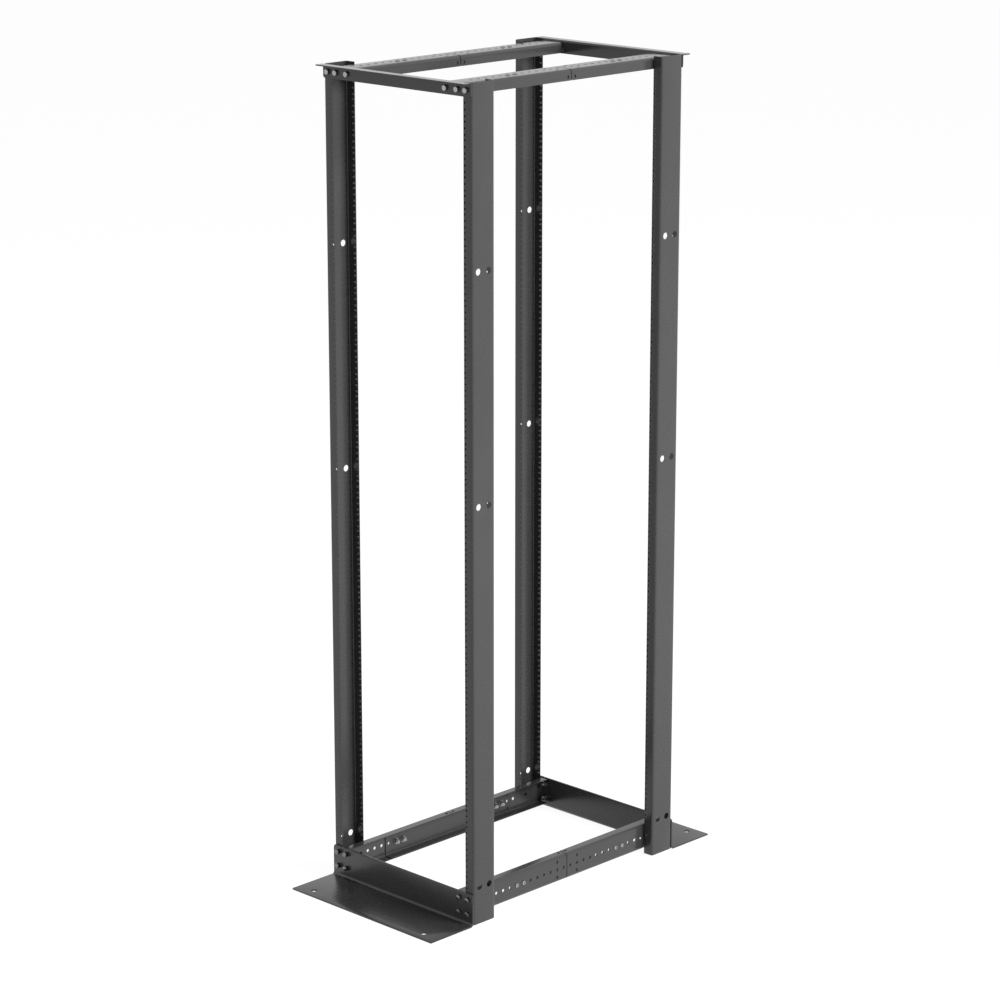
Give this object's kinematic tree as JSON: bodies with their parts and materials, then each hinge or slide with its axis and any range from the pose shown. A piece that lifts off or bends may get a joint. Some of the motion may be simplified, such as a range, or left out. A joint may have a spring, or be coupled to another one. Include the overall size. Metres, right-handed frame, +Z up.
{
  "type": "four post open frame rack",
  "caption": "Tall open equipment rack: drilled channel posts on floor angles, tied by top angles and spliced side rails.",
  "frame": {"origin": "on the floor, at the middle of the footprint", "axes": "+Z up, -Y to the front, +X to the right hand side"},
  "size_m": [0.5144, 1.054, 2.1336],
  "materials": {
    "post_steel": "fine textured powder coat",
    "base_steel": "fine textured powder coat",
    "top_angle_steel": "fine textured powder coat",
    "rail_steel": "fine textured powder coat",
    "splice_steel": "fine textured powder coat"
  },
  "bodies": {
    "root": {"post_front_right": "post_steel", "post_front_left": "post_steel", "post_rear_right": "post_steel", "post_rear_left": "post_steel", "base_angle_front": "base_steel", "base_angle_rear": "base_steel", "top_angle_front": "top_angle_steel", "top_angle_rear": "top_angle_steel", "bottom_rail_right_front": "rail_steel", "bottom_rail_right_rear": "rail_steel", "bottom_rail_right_splice": "splice_steel", "bottom_rail_left_front": "rail_steel", "bottom_rail_left_rear": "rail_steel", "bottom_rail_left_splice": "splice_steel", "top_rail_right_front": "rail_steel", "top_rail_right_rear": "rail_steel", "top_rail_right_splice": "splice_steel", "top_rail_left_front": "rail_steel", "top_rail_left_rear": "rail_steel", "top_rail_left_splice": "splice_steel"}
  },
  "joints": []
}
